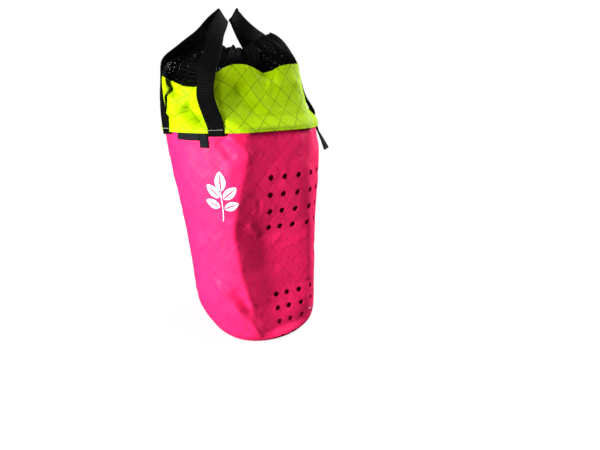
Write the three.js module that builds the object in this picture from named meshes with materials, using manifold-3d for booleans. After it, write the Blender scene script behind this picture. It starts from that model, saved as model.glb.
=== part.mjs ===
// A canyoneering rope bag: a soft upright tube of sailcloth with drain holes, a bright collar lapped over
// its top, a gathered net throat, two webbing grab handles, a webbing tab and two small seam labels.
// Millimetres, +Z up. The origin is the centre of the base, on the ground. The front, with the labels,
// faces -Y.

import * as THREE from "three";
import { mergeVertices } from "three/addons/utils/BufferGeometryUtils.js";
import Module from "manifold-3d";

// Driving dimensions
const SEAM_HEIGHT = 318; // lower edge of the collar
const SEAM_CENTRE = new THREE.Vector3(-9, 3, SEAM_HEIGHT); // the soft tube leans a little
const COLLAR_LAP = 9; // the tube reaches this far up inside the collar
const TUBE_WALL = 1.6;
const COLLAR_WALL = 1.5;
const NET_WALL = 1.2;
const BASE_WALL = 1.8;
const LABEL_WALL = 1;
const GAP = 0.3; // clearance between sewn pieces
const HANDLE_WEBBING = { width: 21.5, thickness: 2 };
const TAB_WEBBING = { width: 20, thickness: 3 }; // folded double
const DRAIN_RADIUS = 4.2;
const DRAIN_PITCH = 24;
const RIM_RADIUS = 41; // mouth of the net throat
const NET_GATHERS = 13;
const NET_GATHER_DEPTH = 3.6;
const NET_TUCK = 0.88; // share of the collar's height where the net is sewn in
const NET_DRAW = 2; // how far the net's side is drawn in above the collar's edge
const COLUMNS = 52; // facets around each wall
const COLLAR_LEVELS = [0, 0.12, 0.25, 0.38, 0.54, 0.71, NET_TUCK, 1];
const NET_LEVELS = [0, 0.14, 0.3, 0.46, 0.62, 0.8, 1];
const HANDLE_STEPS = 48;
const TAB_STEPS = 8;
const LABEL_STEPS = 4;
const DRILL_SIDES = 8;

// Sections of the tube: height, radius, and the centre's shift to the right and to the back
const TUBE_SECTIONS = [
  { z: 0.4, radius: 78, right: 0, back: 0 },
  { z: 2.5, radius: 88, right: 0, back: 0 },
  { z: 9, radius: 94.5, right: 0, back: 0 },
  { z: 24, radius: 98, right: 0, back: 0 },
  { z: 60, radius: 99, right: 0, back: 0 },
  { z: 113, radius: 100.5, right: -0.7, back: 0.3 },
  { z: 173, radius: 103, right: -2, back: 0.8 },
  { z: 231, radius: 108.5, right: -4, back: 1.2 },
  { z: 286, radius: 113.5, right: -7, back: 2.2 },
  { z: SEAM_HEIGHT, radius: 115, right: SEAM_CENTRE.x, back: SEAM_CENTRE.y },
  { z: SEAM_HEIGHT + COLLAR_LAP, radius: 114.8, right: SEAM_CENTRE.x, back: SEAM_CENTRE.y },
];

// Folds of a wall: where each runs, how far it leans over its height, and how deep it is. A ridge has a
// minus depth.
const TUBE_FOLDS = [
  { angle: 48, lean: 3, low: 4, high: 316, fade: 70, width: 8.5, depth: 10 }, // valley beside the drain holes
  { angle: 36, lean: 5, low: 8, high: 312, fade: 60, width: 9, depth: -4 }, // ridge along the valley
  { angle: 42, lean: 0, low: 256, high: 314, fade: 24, width: 6, depth: -4 }, // pinch under the handle's foot
  { angle: 69, lean: 0, low: 60, high: 313, fade: 60, width: 18, depth: 11.5 }, // flat of the upper drain field
  { angle: 26, lean: -57, low: 4, high: 106, fade: 30, width: 8, depth: -3 }, // pull line to the base
  { angle: -41, lean: 0, low: -200, high: 180, fade: 120, width: 30, depth: 3 }, // slack flank
  { angle: -22, lean: 0, low: -100, high: 56, fade: 54, width: 42, depth: 16.5 }, // slack corner at the base
  { angle: 118, lean: 0, low: 280, high: 600, fade: 38, width: 24, depth: 6.5 }, // flank drawn in
  { angle: 160, lean: 10, low: 20, high: 300, fade: 90, width: 12, depth: 6 },
  { angle: 182, lean: 8, low: 30, high: 290, fade: 90, width: 10, depth: -3 },
  { angle: 245, lean: -14, low: 14, high: 300, fade: 90, width: 14, depth: 6 },
];

// Sections and folds of the collar, by height above the seam
const COLLAR_SECTIONS = [
  { z: 0, radius: 117 },
  { z: 12, radius: 117 },
  { z: 24, radius: 114.5 },
  { z: 45, radius: 109 },
  { z: 70, radius: 104 },
  { z: 95, radius: 99 },
];
const COLLAR_FOLDS = [
  { angle: 0, lean: 0, low: 24, high: 200, fade: 50, width: 14, depth: 9 }, // slump between the handle's feet
  { angle: -36, lean: 0, low: 12, high: 200, fade: 40, width: 14, depth: -5 },
  { angle: 30, lean: 28, low: 10, high: 62, fade: 20, width: 7, depth: 5 }, // slanting dent right of the foot
  { angle: 8, lean: -26, low: 10, high: 56, fade: 18, width: 7, depth: 5 },
  { angle: 66, lean: 0, low: 40, high: 200, fade: 40, width: 9, depth: 6 }, // gather under a dip of the edge
  { angle: 118, lean: 0, low: -200, high: 300, fade: 60, width: 24, depth: 6.5 }, // flank drawn in
  { angle: 128, lean: 0, low: 9, high: 200, fade: 18, width: 34, depth: 13 }, // pushed in above a ledge
  { angle: 190, lean: 0, low: 20, high: 200, fade: 50, width: 22, depth: 10 },
  { angle: 262, lean: 16, low: 10, high: 200, fade: 40, width: 12, depth: 5 },
];
const COLLAR_EDGE = [
  { angle: -90, z: 82 },
  { angle: -55, z: 76 },
  { angle: -28, z: 68 },
  { angle: -11, z: 60 },
  { angle: 5, z: 55 },
  { angle: 14, z: 60 },
  { angle: 25, z: 77 },
  { angle: 38, z: 83 },
  { angle: 52, z: 78 },
  { angle: 64, z: 71 },
  { angle: 76, z: 80 },
  { angle: 100, z: 85 },
  { angle: 135, z: 88 },
  { angle: 180, z: 70 },
  { angle: 225, z: 84 },
];

// Mouth of the net, by height above the seam, and how far up its side bulges
const RIM_EDGE = [
  { angle: 0, z: 108, full: 0.8 },
  { angle: 45, z: 108, full: 0.6 },
  { angle: 90, z: 123, full: 0.7 },
  { angle: 118, z: 125, full: 0.88 },
  { angle: 150, z: 113, full: 0.5 },
  { angle: 185, z: 104, full: 0.5 },
  { angle: 220, z: 108, full: 0.5 },
  { angle: 270, z: 118, full: 0.9 },
  { angle: 300, z: 116, full: 1.1 },
  { angle: 320, z: 113, full: 1 },
  { angle: 338, z: 109, full: 0.62 },
];

// Centre lines of the handles from the seam's centre, from the right foot over the top to the left foot,
// and the turn of the webbing from the plane of the loop: flat on the collar at the feet, across the loop
// at the top
const FRONT_HANDLE = [
  { right: 45.4, back: -109.6, z: -4, turn: 22.5 },
  { right: 45, back: -110, z: 10, turn: 22.5 },
  { right: 42, back: -115, z: 30, turn: 22 },
  { right: 37, back: -115, z: 47, turn: 22 },
  { right: 34.5, back: -106.5, z: 72, turn: 27 },
  { right: 28.5, back: -87, z: 98, turn: 44 },
  { right: 18, back: -65, z: 124, turn: 64 },
  { right: 9, back: -43, z: 141, turn: 82 },
  { right: -1, back: -31, z: 147, turn: 90 },
  { right: -12, back: -39, z: 138, turn: 86 },
  { right: -22, back: -55, z: 121, turn: 78 },
  { right: -34.5, back: -82, z: 103, turn: 58 },
  { right: -46.5, back: -101.5, z: 87, turn: 44 },
  { right: -47.5, back: -107.5, z: 64, turn: 40 },
  { right: -46.5, back: -110.5, z: 40, turn: 33 },
  { right: -44.5, back: -111, z: 12, turn: 23 },
  { right: -43.4, back: -110.5, z: -4, turn: 21.5 },
];
const REAR_HANDLE = [
  { right: 57, back: 102.7, z: -4, turn: -29 },
  { right: 57.6, back: 103.6, z: 10, turn: -29 },
  { right: 57.4, back: 103.6, z: 21, turn: -29 },
  { right: 47, back: 98.5, z: 42, turn: -28 },
  { right: 37, back: 95.5, z: 70, turn: -27 },
  { right: 26, back: 82.5, z: 98, turn: -40 },
  { right: 11, back: 56, z: 120, turn: -70 },
  { right: 1, back: 33, z: 129, turn: -104 },
  { right: -3, back: 12, z: 140, turn: -112 },
  { right: -4, back: -4, z: 152, turn: -90 },
  { right: -12, back: 10, z: 146, turn: -82 },
  { right: -22, back: 36, z: 132, turn: -62 },
  { right: -31, back: 64, z: 114, turn: -42 },
  { right: -38, back: 86, z: 92, turn: -28 },
  { right: -42, back: 101, z: 66, turn: -22 },
  { right: -42, back: 110, z: 36, turn: -21 },
  { right: -42.6, back: 111, z: 10, turn: -21 },
  { right: -42.5, back: 110.7, z: -4, turn: -21 },
];
const SIDE_TAB = [
  { right: 75.4, back: 86.2, z: -1.5, turn: 41 },
  { right: 78.8, back: 89, z: -13, turn: 44 },
  { right: 84.8, back: 92.8, z: -27, turn: 52 },
  { right: 91, back: 95, z: -41, turn: 62 },
];

// Fields of drain holes: angle and height of the first hole, and how many there are
const DRAIN_FIELDS = [
  { angle: 57.2, z: 255, columns: 6, rows: 4, radius: 106.5, drop: DRAIN_PITCH },
  { angle: 59.5, z: 76.5, columns: 6, rows: 4, radius: 107, drop: 23 },
];

// Labels sewn under the collar's edge: the angles of their sides and how far they hang
const LABELS = [
  { name: "label_wide", from: -9.6, to: 9.2, hang: 9.5 },
  { name: "label_tall", from: 9.7, to: 15.2, hang: 18.5 },
];

// Colours and finishes of the cloths
const PINK = 0xf0125f;
const YELLOW_GREEN = 0xb4ee00;
const BLACK = 0x0b0b0c;
const CHARCOAL = 0x1b1d20;
const SAILCLOTH_ROUGHNESS = 0.5;
const WEBBING_ROUGHNESS = 0.75;
const NET_ROUGHNESS = 0.8;
const LABEL_ROUGHNESS = 0.7;

/** A cubic through one column of a table, read at a value of its key column. A period joins the ends. */
function readColumn(table, key, name, at, period = 0) {
  const rows = period
    ? [
        ...table.map((row) => ({ ...row, [key]: row[key] - period })),
        ...table,
        ...table.map((row) => ({ ...row, [key]: row[key] + period })),
      ]
    : table;
  const last = rows.length - 1;
  let i = rows.findIndex((row) => row[key] > at) - 1;
  if (i === -2) i = last - 1;
  i = Math.max(i, 0);
  const slope = (k) => {
    const a = rows[Math.max(k - 1, 0)];
    const b = rows[Math.min(k + 1, last)];
    return (b[name] - a[name]) / (b[key] - a[key]);
  };
  const span = rows[i + 1][key] - rows[i][key];
  const t = (at - rows[i][key]) / span;
  if (t < 0) return rows[0][name] + slope(0) * t * span;
  if (t > 1) return rows[last][name] + slope(last) * (t - 1) * span;
  const t2 = t * t;
  const t3 = t2 * t;
  return (
    rows[i][name] * (2 * t3 - 3 * t2 + 1) +
    rows[i + 1][name] * (3 * t2 - 2 * t3) +
    slope(i) * span * (t3 - 2 * t2 + t) +
    slope(i + 1) * span * (t3 - t2)
  );
}

/** How far the folds of a table push a wall in at one angle and height. */
function foldDepth(folds, angle, z) {
  let depth = 0;
  for (const fold of folds) {
    const middle = (fold.low + fold.high) / 2;
    const line = fold.angle + (fold.lean * (z - middle)) / (fold.high - fold.low);
    const away = THREE.MathUtils.euclideanModulo(angle - line + 180, 360) - 180;
    const begins = THREE.MathUtils.smoothstep(z, fold.low, fold.low + fold.fade);
    const ends = 1 - THREE.MathUtils.smoothstep(z, fold.high - fold.fade, fold.high);
    depth += fold.depth * begins * ends * Math.exp(-((away / fold.width) ** 2));
  }
  return depth;
}

/** A point at an angle from the front, turning towards the right. */
function polar(angle, radius, z) {
  const turn = THREE.MathUtils.degToRad(angle);
  return new THREE.Vector3(radius * Math.sin(turn), -radius * Math.cos(turn), z);
}

/** A point of the tube's outer face. */
function tubePoint(angle, z) {
  const radius = readColumn(TUBE_SECTIONS, "z", "radius", z) - foldDepth(TUBE_FOLDS, angle, z);
  const point = polar(angle, radius, z);
  point.x += readColumn(TUBE_SECTIONS, "z", "right", z);
  point.y += readColumn(TUBE_SECTIONS, "z", "back", z);
  return point;
}

/** A point of the collar's outer face, from the seam's centre. Rise is 0 at the seam and 1 at the edge. */
function collarPoint(angle, rise) {
  const z = rise * readColumn(COLLAR_EDGE, "angle", "z", angle, 360);
  const radius = readColumn(COLLAR_SECTIONS, "z", "radius", z) - foldDepth(COLLAR_FOLDS, angle, z);
  return polar(angle, radius, z);
}

/** The outward direction of a face that follows outerAt(angle, level). */
function outwardAt(outerAt, angle, level, reach) {
  const along = outerAt(angle + 0.01, level).sub(outerAt(angle - 0.01, level));
  const up = outerAt(angle, level + reach).sub(outerAt(angle, level - reach));
  return along.cross(up).normalize();
}

/** A point of the net's outer face, from inside the collar's edge to the gathered mouth. */
function netPoint(angle, rise) {
  const inset = -(COLLAR_WALL + 2 * GAP);
  const start = collarPoint(angle, NET_TUCK);
  start.addScaledVector(outwardAt(collarPoint, angle, NET_TUCK, 0.01), inset);
  const edge = collarPoint(angle, 1);
  edge.addScaledVector(outwardAt(collarPoint, angle, 1, 0.01), inset);
  const startRadius = Math.hypot(start.x, start.y);
  const edgeRadius = Math.hypot(edge.x, edge.y);
  const rimZ = readColumn(RIM_EDGE, "angle", "z", angle, 360);
  const bulgeZ = edge.z + readColumn(RIM_EDGE, "angle", "full", angle, 360) * (rimZ - edge.z);
  const lead = (bulgeZ - start.z) / (edge.z - start.z);
  const side = new THREE.QuadraticBezierCurve(
    new THREE.Vector2(startRadius, start.z),
    new THREE.Vector2(startRadius + lead * (edgeRadius - startRadius) - NET_DRAW, bulgeZ),
    new THREE.Vector2(RIM_RADIUS, rimZ),
  ).getPoint(rise);
  const wave = Math.cos(THREE.MathUtils.degToRad(angle * NET_GATHERS));
  const gather = NET_GATHER_DEPTH * rise ** 2 * wave;
  return polar(angle, side.x + gather, side.y + 0.5 * gather);
}

/** A closed geometry from corner points and triangles. */
function geometryOf(points, triangles) {
  const geometry = new THREE.BufferGeometry().setFromPoints(points);
  geometry.setIndex(triangles);
  return geometry;
}

/** A closed ring-shaped wall whose outer face follows outerAt(angle, level), `thickness` thick. */
function ringWall(outerAt, levels, thickness) {
  const outer = [];
  const inner = [];
  const reach = 0.001 * (levels[levels.length - 1] - levels[0]);
  for (const level of levels) {
    for (let i = 0; i < COLUMNS; i += 1) {
      const angle = (360 * i) / COLUMNS;
      const point = outerAt(angle, level);
      outer.push(point);
      inner.push(point.clone().addScaledVector(outwardAt(outerAt, angle, level, reach), -thickness));
    }
  }
  const count = outer.length;
  const triangles = [];
  const quad = (a, b, c, d) => triangles.push(a, b, c, a, c, d);
  for (let i = 0; i < COLUMNS; i += 1) {
    const next = (i + 1) % COLUMNS;
    for (let j = 0; j + 1 < levels.length; j += 1) {
      const low = j * COLUMNS;
      const high = low + COLUMNS;
      quad(low + i, low + next, high + next, high + i);
      quad(count + high + i, count + high + next, count + low + next, count + low + i);
    }
    const top = (levels.length - 1) * COLUMNS;
    quad(count + i, count + next, next, i);
    quad(top + i, top + next, count + top + next, count + top + i);
  }
  return geometryOf([...outer, ...inner], triangles);
}

/** A closed plate that lies clear on the wall pointAt(angle, z), over a grid of angles and heights. */
function curvedPlate(pointAt, angles, heights, thickness) {
  const face = (offset) =>
    heights.flatMap((z) =>
      angles.map((angle) => pointAt(angle, z).add(polar(angle, offset, 0))),
    );
  const columns = angles.length;
  const back = face(GAP);
  const front = face(GAP + thickness);
  const count = back.length;
  const triangles = [];
  const quad = (a, b, c, d) => triangles.push(a, b, c, a, c, d);
  for (let j = 0; j + 1 < heights.length; j += 1) {
    for (let i = 0; i + 1 < columns; i += 1) {
      const a = j * columns + i;
      const d = a + columns;
      quad(count + a, count + a + 1, count + d + 1, count + d);
      quad(d, d + 1, a + 1, a);
    }
  }
  const rim = [];
  for (let i = 0; i + 1 < columns; i += 1) rim.push(i);
  for (let j = 0; j + 1 < heights.length; j += 1) rim.push(j * columns + columns - 1);
  for (let i = columns - 1; i > 0; i -= 1) rim.push((heights.length - 1) * columns + i);
  for (let j = heights.length - 1; j > 0; j -= 1) rim.push(j * columns);
  rim.forEach((a, k) => {
    const b = rim[(k + 1) % rim.length];
    quad(a, b, count + b, count + a);
  });
  return geometryOf([...back, ...front], triangles);
}

/** A flat strap swept along a table of places. `leaning` is the normal of the loop's plane. */
function strap(rows, webbing, leaning, steps) {
  const path = new THREE.CatmullRomCurve3(rows.map((row) => new THREE.Vector3(row.right, row.back, row.z)));
  const points = [];
  for (let k = 0; k <= steps; k += 1) {
    const t = k / steps;
    const centre = path.getPoint(t);
    const tangent = path.getTangent(t);
    const place = t * (rows.length - 1);
    const numbered = rows.map((row, index) => ({ index, turn: row.turn }));
    const turn = THREE.MathUtils.degToRad(readColumn(numbered, "index", "turn", place));
    const inward = leaning.clone().cross(tangent).normalize();
    const across = tangent.clone().cross(inward);
    const wide = inward.multiplyScalar(Math.cos(turn)).addScaledVector(across, Math.sin(turn));
    const face = tangent.clone().cross(wide);
    for (const [w, f] of [[-1, -1], [1, -1], [1, 1], [-1, 1]]) {
      points.push(
        centre
          .clone()
          .addScaledVector(wide, (w * webbing.width) / 2)
          .addScaledVector(face, (f * webbing.thickness) / 2),
      );
    }
  }
  const triangles = [];
  const quad = (a, b, c, d) => triangles.push(a, b, c, a, c, d);
  for (let k = 0; k < steps; k += 1) {
    for (let side = 0; side < 4; side += 1) {
      const a = 4 * k + side;
      const b = 4 * k + ((side + 1) % 4);
      quad(a, b, b + 4, a + 4);
    }
  }
  const end = 4 * steps;
  quad(3, 2, 1, 0);
  quad(end, end + 1, end + 2, end + 3);
  return geometryOf(points, triangles);
}

/** The heights of a table's rows, with one more between each two that are far apart. */
function heightsOf(table) {
  return table.flatMap((row, k) => {
    if (k && row.z - table[k - 1].z > 10) return [(table[k - 1].z + row.z) / 2, row.z];
    return [row.z];
  });
}

const wasm = await Module();
wasm.setup();

/** A geometry as a solid that can be cut. */
function solidOf(geometry) {
  const bare = geometry.clone();
  bare.deleteAttribute("normal");
  bare.deleteAttribute("uv");
  const merged = mergeVertices(bare);
  const mesh = new wasm.Mesh({
    numProp: 3,
    vertProperties: merged.attributes.position.array,
    triVerts: new Uint32Array(merged.index.array),
  });
  return new wasm.Manifold(mesh);
}

/** A cut solid as a geometry. */
function geometryOfSolid(solid) {
  const mesh = solid.getMesh();
  return new THREE.BufferGeometry()
    .setAttribute("position", new THREE.BufferAttribute(mesh.vertProperties, 3))
    .setIndex(new THREE.BufferAttribute(mesh.triVerts, 1));
}

/** A short drill through the tube's wall at one drain hole. */
function drainDrill(angle, z) {
  const normal = outwardAt(tubePoint, angle, z, 0.5);
  const drill = new THREE.CylinderGeometry(DRAIN_RADIUS, DRAIN_RADIUS, 8 * TUBE_WALL, DRILL_SIDES);
  drill.applyQuaternion(new THREE.Quaternion().setFromUnitVectors(new THREE.Vector3(0, 1, 0), normal));
  const centre = tubePoint(angle, z);
  return drill.translate(centre.x, centre.y, centre.z);
}

function tube() {
  let solid = solidOf(ringWall(tubePoint, heightsOf(TUBE_SECTIONS), TUBE_WALL));
  for (const field of DRAIN_FIELDS) {
    const turn = THREE.MathUtils.radToDeg(DRAIN_PITCH / field.radius);
    for (let row = 0; row < field.rows; row += 1) {
      for (let column = 0; column < field.columns; column += 1) {
        const drill = drainDrill(field.angle + column * turn, field.z - row * field.drop);
        solid = solid.subtract(solidOf(drill));
      }
    }
  }
  return geometryOfSolid(solid);
}

/** The base: a flat panel that fills the tube's lower edge. */
function base() {
  const lowest = TUBE_SECTIONS[0].z;
  const outline = new THREE.Shape();
  for (let i = 0; i < COLUMNS; i += 1) {
    const edge = tubePoint((360 * i) / COLUMNS, lowest);
    const inset = 1 - (2 * GAP) / Math.hypot(edge.x, edge.y); // the wall leans in over the panel's edge
    if (i) outline.lineTo(edge.x * inset, edge.y * inset);
    else outline.moveTo(edge.x * inset, edge.y * inset);
  }
  return new THREE.ExtrudeGeometry(outline, { depth: BASE_WALL, bevelEnabled: false });
}

function collar() {
  return ringWall(collarPoint, COLLAR_LEVELS, COLLAR_WALL);
}

function net() {
  return ringWall(netPoint, NET_LEVELS, NET_WALL);
}

function label({ from, to, hang }) {
  const angles = Array.from({ length: LABEL_STEPS + 1 }, (_, k) => from + ((to - from) * k) / LABEL_STEPS);
  const top = SEAM_HEIGHT - GAP;
  const heights = [top - hang, top - hang / 2, top];
  return curvedPlate(tubePoint, angles, heights, LABEL_WALL);
}

/** One named piece with a cloth material of its own. */
function piece(name, geometry, color, roughness) {
  const mesh = new THREE.Mesh(geometry, new THREE.MeshStandardMaterial({ color, roughness, metalness: 0 }));
  mesh.name = name;
  return mesh;
}

const frontLean = new THREE.Vector3(0, -1, 1).normalize();
const rearLean = new THREE.Vector3(0, -1, -1).normalize();

const bag = new THREE.Group();
bag.add(piece("tube", tube(), PINK, SAILCLOTH_ROUGHNESS));
bag.add(piece("base", base(), PINK, SAILCLOTH_ROUGHNESS));
for (const row of LABELS) bag.add(piece(row.name, label(row), CHARCOAL, LABEL_ROUGHNESS));

const top = new THREE.Group();
top.position.copy(SEAM_CENTRE);
top.add(piece("collar", collar(), YELLOW_GREEN, SAILCLOTH_ROUGHNESS));
top.add(piece("net_throat", net(), BLACK, NET_ROUGHNESS));
const frontStrap = strap(FRONT_HANDLE, HANDLE_WEBBING, frontLean, HANDLE_STEPS);
top.add(piece("handle_front", frontStrap, BLACK, WEBBING_ROUGHNESS));
const rearStrap = strap(REAR_HANDLE, HANDLE_WEBBING, rearLean, HANDLE_STEPS);
top.add(piece("handle_rear", rearStrap, BLACK, WEBBING_ROUGHNESS));
top.add(piece("side_tab", strap(SIDE_TAB, TAB_WEBBING, rearLean, TAB_STEPS), BLACK, WEBBING_ROUGHNESS));
bag.add(top);

export default bag;
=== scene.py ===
"""Looks of a canyoneering rope bag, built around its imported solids.

Metres, +Z up, and the front with the labels faces -Y. Angles go round the bag from the front
towards +X, in degrees.
"""

import math
from collections import namedtuple

import bpy
import numpy as np
from mathutils import Matrix, Vector
from mathutils.bvhtree import BVHTree


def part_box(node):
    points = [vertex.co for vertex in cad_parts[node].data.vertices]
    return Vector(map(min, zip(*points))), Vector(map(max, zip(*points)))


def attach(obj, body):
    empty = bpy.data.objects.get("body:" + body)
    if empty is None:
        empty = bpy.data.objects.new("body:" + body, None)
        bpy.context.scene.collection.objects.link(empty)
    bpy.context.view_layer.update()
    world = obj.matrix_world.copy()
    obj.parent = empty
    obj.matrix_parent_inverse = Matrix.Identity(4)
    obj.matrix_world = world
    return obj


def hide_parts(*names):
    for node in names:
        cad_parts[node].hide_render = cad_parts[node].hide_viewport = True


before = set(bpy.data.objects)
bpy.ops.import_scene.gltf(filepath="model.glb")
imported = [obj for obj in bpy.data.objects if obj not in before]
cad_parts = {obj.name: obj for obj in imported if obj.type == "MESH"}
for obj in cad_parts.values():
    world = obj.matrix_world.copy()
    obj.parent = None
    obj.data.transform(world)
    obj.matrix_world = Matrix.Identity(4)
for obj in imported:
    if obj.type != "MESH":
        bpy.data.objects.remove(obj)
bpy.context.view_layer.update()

# Driving sizes
MM = 0.001
SEAM = Vector((-9, 3, 318)) * MM  # centre of the ring where the collar is sewn to the tube
SEAM_RADIUS = 117 * MM
BASE_MIDDLE = Vector((0, 0, 0))
TUBE_RADIUS = 106 * MM  # usual for the tube's wall
WALL_RADIUS = 108 * MM  # usual for both walls
LABEL_RADIUS = 115 * MM  # of the tube where the labels hang
LEAN_FROM = 60 * MM  # the tube's axis leans from this height on
LEAN_RUN = 258 * MM
TUBE_CLOTH = 1.1 * MM
COLLAR_CLOTH = 1.0 * MM
LABEL_CLOTH = 0.6 * MM
INK = 0.12 * MM
TUBE_FLAT = (0.722, 0.36)
COLLAR_FLAT = (0.735, 0.088)
TUBE_GRID = (300, 138)  # quads round and up a cut of cloth
COLLAR_GRID = (340, 62)
LABEL_GRID = (40, 24)
COLLAR_LAP = 1.8 * MM  # the collar stands off the tube by this at the seam
BASE_RINGS = (1.5, 4, 3, 22, 22)  # widths of the base's rings in millimetres, from its rim inwards
NET_MIDDLE = Vector((SEAM.x, SEAM.y, SEAM.z + 30 * MM))  # the net is measured from here, inside it
NET_CELLS = 196  # in each row round the bag
NET_ROWS = 32
NET_CORD = 2.0 * MM
NET_HEM = 0.93  # share of the net's run above which its rim turns in
NET_BULGE = 16 * MM  # the net swells out over the collar's edge
NET_BULGE_ANGLE = 312
NET_BULGE_SPREAD = 17
NET_RUFFLE = 1.6 * MM
GRID_PITCH = 20.5 * MM  # between the cloth's diagonal yarns
GRID_YARN = 0.9 * MM
FOOT_LAP = 3.4 * MM  # the tube's lower edge, turned in over the base
DRAIN_RADIUS = 4.2 * MM
DRAIN_PITCH = 24 * MM
WEBBING_WIDTH = 21.5 * MM
WEBBING_THICKNESS = 1.9 * MM
WEBBING_RIB = 2.9 * MM
TAB_WIDTH = 20 * MM
TAB_THICKNESS = 2.8 * MM
WEBBING_RELIEF = 0.24 * MM
THREAD = 0.34 * MM
SEAM_STITCHES = 214
SEAM_STITCH_RISE = 3.6 * MM
EDGE_ANGLES = range(0, 360, 3)  # a wall's edge is read here
EDGE_REACH = 3.6  # degrees to either side
REACH = 0.4  # rays towards the bag's axis start this far out

# Noise that rumples the cloth: name, size and depth in millimetres
TUBE_NOISE = [("tube_slack", 40, 1.2), ("tube_crinkle", 14, 0.6)]
COLLAR_NOISE = [("collar_slack", 34, 0.8), ("collar_crinkle", 12, 0.4)]

# Drain holes, where the camera sees those of the solids on the slack wall: angle and height of the
# first hole, the grid's size, the wall's radius and the drop from row to row
DrainField = namedtuple("DrainField", "angle height columns rows radius drop")
DRAIN_FIELDS = [
    DrainField(57.4, 255 * MM, 6, 4, 106.5 * MM, 25.2 * MM),
    DrainField(63, 71.5 * MM, 6, 4, 107 * MM, 21.6 * MM),
]

# Folds pressed into a wall: half width and depth in millimetres, and a line of angles and heights.
# A minus depth is a ridge. The collar's heights are above the seam.
Fold = namedtuple("Fold", "width depth line")
TUBE_FOLDS = [
    Fold(5, -3.4, [(29, 316), (41, 292), (42, 284)]),  # pinch under the front handle's foot
    Fold(7, 4.0, [(22, 310), (31, 284)]),
    Fold(5, -1.6, [(26, 170), (32, 150), (30, 122)]),
    Fold(5, -2.2, [(36, 192), (46, 166)]),
    Fold(5, -4.4, [(3, 106), (8, 99), (21, 72), (33, 46), (42, 20)]),  # pull line to the base
    Fold(7, 4.2, [(20, 98), (32, 66), (47, 34)]),
    Fold(4, -1.2, [(3, 90), (29, 47)]),
    Fold(4, -1.1, [(-3, 84), (22, 42)]),
    Fold(8, 1.4, [(18, 314), (21, 268)]),
    Fold(10, 1.2, [(2, 310), (8, 258)]),
    Fold(9, 1.4, [(-26, 304), (-18, 240)]),
    Fold(8, 1.4, [(92, 318), (84, 272)]),
]
COLLAR_FOLDS = [
    Fold(5, 2.0, [(33, 58), (40, 36), (51, 18)]),
    Fold(5, -1.4, [(44, 60), (55, 34), (64, 22)]),
    Fold(8, 12.0, [(-6, 33), (0, 27), (7, 21), (13, 16)]),  # slanting dent left of the front handle's foot
    Fold(7, -3.0, [(4, 44), (16, 34)]),
    Fold(18, -7.0, [(-14, 18), (-14, 58)]),  # cloth that swells beside the front handle's left leg
    Fold(7, -6.0, [(-9, 60), (14, 58)]),  # edge that curls out under the net
    Fold(14, -5.5, [(-46, 48), (-46, 78)]),  # edge that leans out behind that leg
    Fold(8, 5.0, [(16, 46), (18, 30), (19, 12)]),
    Fold(5, 7.0, [(-32, 55), (-20, 52), (-9, 50)]),  # crease under the left of the edge
    Fold(4, -2.0, [(-26, 51), (-12, 42)]),
    Fold(4, 1.6, [(54, 71), (73, 64)]),
    Fold(5, -1.0, [(64, 62), (78, 54)]),
]

# Slack of the tube between two of its ridges, in plan: angles and radii of the left ridge, the valley
# and the right ridge at a height, in degrees and millimetres from the tube's leaning axis. Straight
# lines run between them.
Slack = namedtuple("Slack", "height left left_radius valley valley_radius right right_radius")
TUBE_SLACK = [
    Slack(24, 41, 97.5, 53, 86.5, 92, 97.5),
    Slack(42, 39, 98.6, 53, 82.5, 93, 98.6),
    Slack(60, 36, 99, 53, 78, 95, 99),
    Slack(81, 34, 99.7, 53, 75.5, 99, 99.5),
    Slack(104, 31, 100.3, 52, 73.5, 99, 100),
    Slack(120, 28, 101, 51, 72.5, 99, 100.5),
    Slack(147, 27, 102, 50, 73, 98, 101.5),
    Slack(170, 25, 103.5, 49, 74.5, 97, 102.5),
    Slack(186, 25, 105, 48, 79, 95, 103.5),
    Slack(206, 27, 106.5, 46, 86.5, 92, 105),
    Slack(238, 33, 109, 46, 95.5, 89, 109),
    Slack(256, 36, 110.5, 47, 99.5, 88, 110.5),
    Slack(285, 40, 112.5, 48, 104.5, 88, 112.5),
    Slack(306, 41, 114.2, 48, 107.2, 89, 114.2),
    Slack(315, 42, 114.4, 48, 107.7, 90, 114.4),
    Slack(319, 42, 112.6, 48, 105.4, 90, 112.4),
]
# Slack of the collar beside the front handle, in plan: angles of its ridge, its valley and the far end
# of the flat part, and the valley's depth, at a height above the seam in millimetres
CollarSlack = namedtuple("CollarSlack", "height ridge valley depth end")
COLLAR_SLACK = [
    CollarSlack(0, 42, 48, 6.5, 90),
    CollarSlack(6, 40, 47, 6.5, 91),
    CollarSlack(18, 29, 42, 16.5, 95),
    CollarSlack(30, 26, 37, 16, 96),
    CollarSlack(45, 25, 34, 14, 97),
    CollarSlack(58, 25, 33, 12.5, 97),
    CollarSlack(72, 25, 32, 10, 98),
]

# Camera, fitted to the photograph: it looks at the seam from the front right
CAMERA_TURN = math.radians(39.5)
CAMERA_DISTANCE = 0.66415
CAMERA_RISE = 0.050808
CAMERA_YAW = 0.125
CAMERA_PITCH = 0.309
CAMERA_ROLL = -0.017
FOCAL_PIXELS = 424.586
IMAGE_PIXELS = 600
SENSOR_WIDTH = 36.0
SKY_LIGHT = 0.06  # the room's light round the bag, behind a background that looks white
BLACK_SHINE = 0.03  # specular level of the black cloths

# Soft square lights: where each stands round the bag, its size in metres and its power in watts
Light = namedtuple("Light", "name angle distance height size power")
LIGHTS = [
    Light("key", -15, 1.2, 0.35, 0.5, 42),
    Light("over_right", 75, 0.45, 0.95, 0.5, 4.0),
    Light("rim_right", 150, 1.1, 0.8, 0.5, 25),
]
BAG_MIDDLE = Vector((0, 0, 0.22))  # they look here


# Objects and modifiers


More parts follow.
